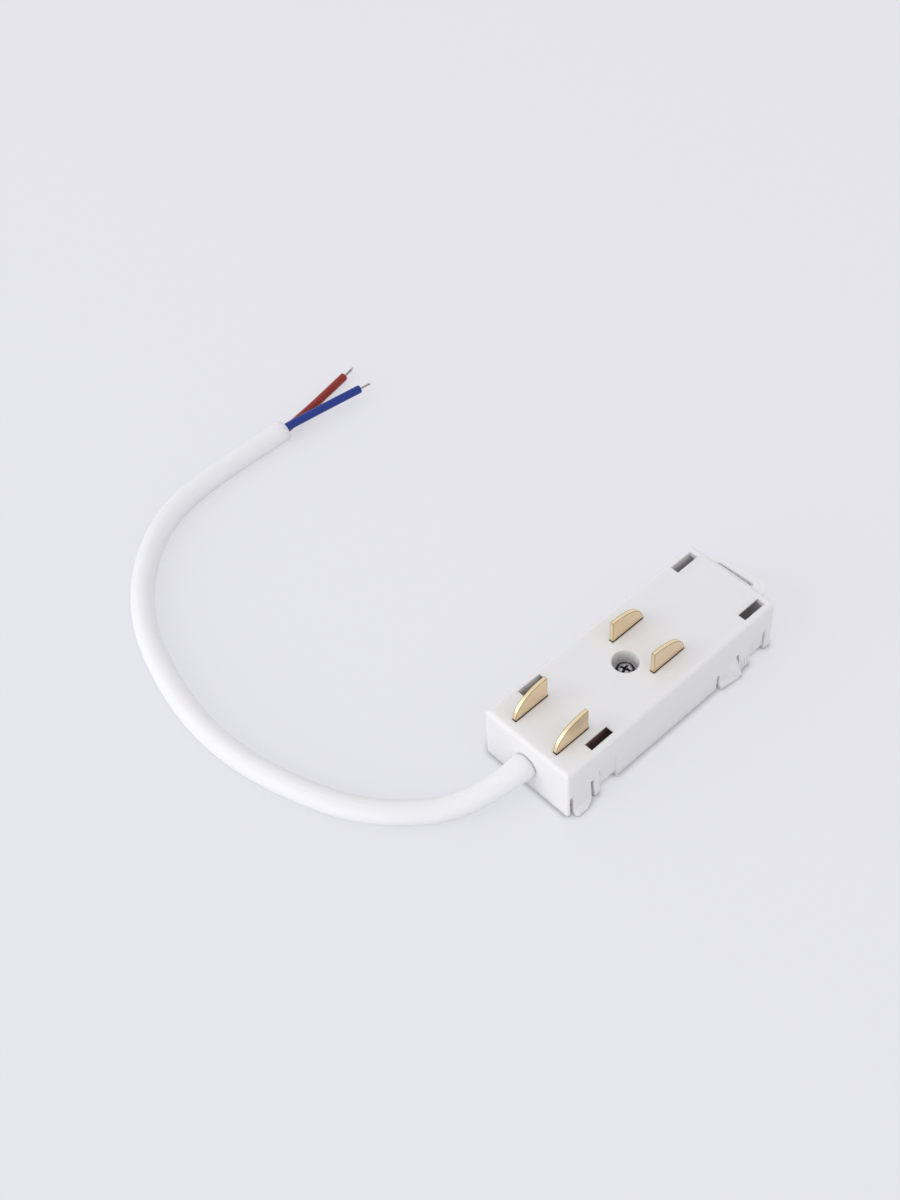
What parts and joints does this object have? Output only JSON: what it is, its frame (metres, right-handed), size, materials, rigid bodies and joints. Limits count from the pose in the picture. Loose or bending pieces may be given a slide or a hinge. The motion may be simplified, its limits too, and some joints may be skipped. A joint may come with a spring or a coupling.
{
  "type": "track light power feed",
  "caption": "White moulded power feed for a lighting track, with upright contact blades on top, sprung side tongues and a round lead with bared cores.",
  "frame": {"origin": "middle of the underside of the feed, without its lead", "axes": "+Z out of the contact face, +X along the feed from the lead's end to the far end, +Y to the left seen along +X"},
  "size_m": [0.1103, 0.1351, 0.0204],
  "materials": {
    "housing_plastic": "satin moulded",
    "inner_plastic": "fine matte moulded",
    "retainer_laminate": "pressed paper laminate",
    "gold_plated_brass": "bright plated",
    "screw_steel": "bright zinc plated",
    "solder": "smooth tin",
    "sleeve_plastic": "satin shrunk sleeve",
    "white_pvc": "satin extruded",
    "blue_pvc": "satin extruded",
    "brown_pvc": "satin extruded",
    "copper_strands": "tinned fine strands"
  },
  "bodies": {
    "root": {"housing": "housing_plastic", "base_cover": "inner_plastic", "cover_screw": "screw_steel", "left_contact_strip": "gold_plated_brass", "right_contact_strip": "gold_plated_brass", "contact_retainer": "retainer_laminate", "cord_clamp": "inner_plastic", "left_clamp_screw": "screw_steel", "right_clamp_screw": "screw_steel", "left_solder_joint": "solder", "right_solder_joint": "solder", "left_wire_sleeve": "sleeve_plastic", "right_wire_sleeve": "sleeve_plastic", "lead_sheath": "white_pvc", "blue_core": "blue_pvc", "brown_core": "brown_pvc", "blue_strands": "copper_strands", "brown_strands": "copper_strands"}
  },
  "joints": []
}
